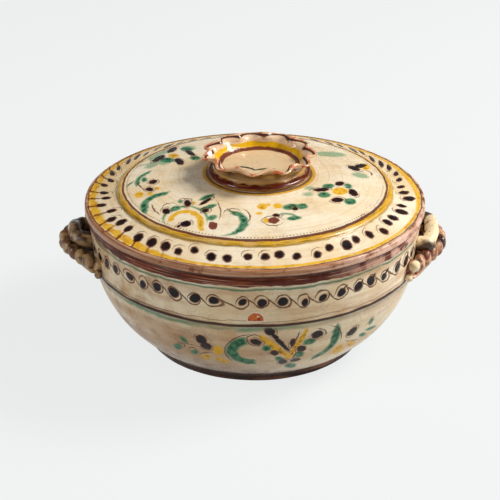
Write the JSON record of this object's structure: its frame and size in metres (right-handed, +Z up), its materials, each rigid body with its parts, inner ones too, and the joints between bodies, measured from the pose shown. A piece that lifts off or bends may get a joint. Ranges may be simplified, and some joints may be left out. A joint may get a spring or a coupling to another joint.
{
  "type": "lidded tureen",
  "caption": "Round earthenware tureen with a turned foot, a ridged belly, crimped lug handles and a shallow domed lid whose dish-shaped knob has a crimped rim; painted flowers, scrolls and dots",
  "frame": {"origin": "Centre of the foot's underside, on the surface the tureen stands on.", "axes": "+Z up the bowl's turned axis; the two handles stand on the X axis, left at -X and right at +X; the front that the picture shows faces -Y."},
  "size_m": [0.3198, 0.2806, 0.1613],
  "materials": {
    "painted_cream_glaze": "cream slip under a clear lead glaze, painted and incised, fine crazing",
    "brown_banded_glaze": "cream slip with brown and olive running stains under a clear glaze",
    "handle_glaze": "cream slip under a clear glaze, worn to the clay on the high places"
  },
  "bodies": {
    "bowl": {"bowl": "painted_cream_glaze", "handle_right_coil": "handle_glaze", "handle_right_strip": "brown_banded_glaze", "handle_left_coil": "handle_glaze", "handle_left_strip": "brown_banded_glaze", "pellet_right_back_upper": "handle_glaze", "pellet_right_back_lower": "handle_glaze", "pellet_right_front_upper": "handle_glaze", "pellet_right_front_lower": "handle_glaze", "pellet_left_back_upper": "handle_glaze", "pellet_left_back_lower": "handle_glaze", "pellet_left_front_upper": "handle_glaze", "pellet_left_front_lower": "handle_glaze"},
    "lid": {"lid": "painted_cream_glaze", "knob": "brown_banded_glaze"}
  },
  "joints": [
    {"name": "lid_lift", "type": "slide", "parent": "bowl", "child": "lid", "axis": [0, 0, 1], "range_m": [0, 0.12]}
  ]
}
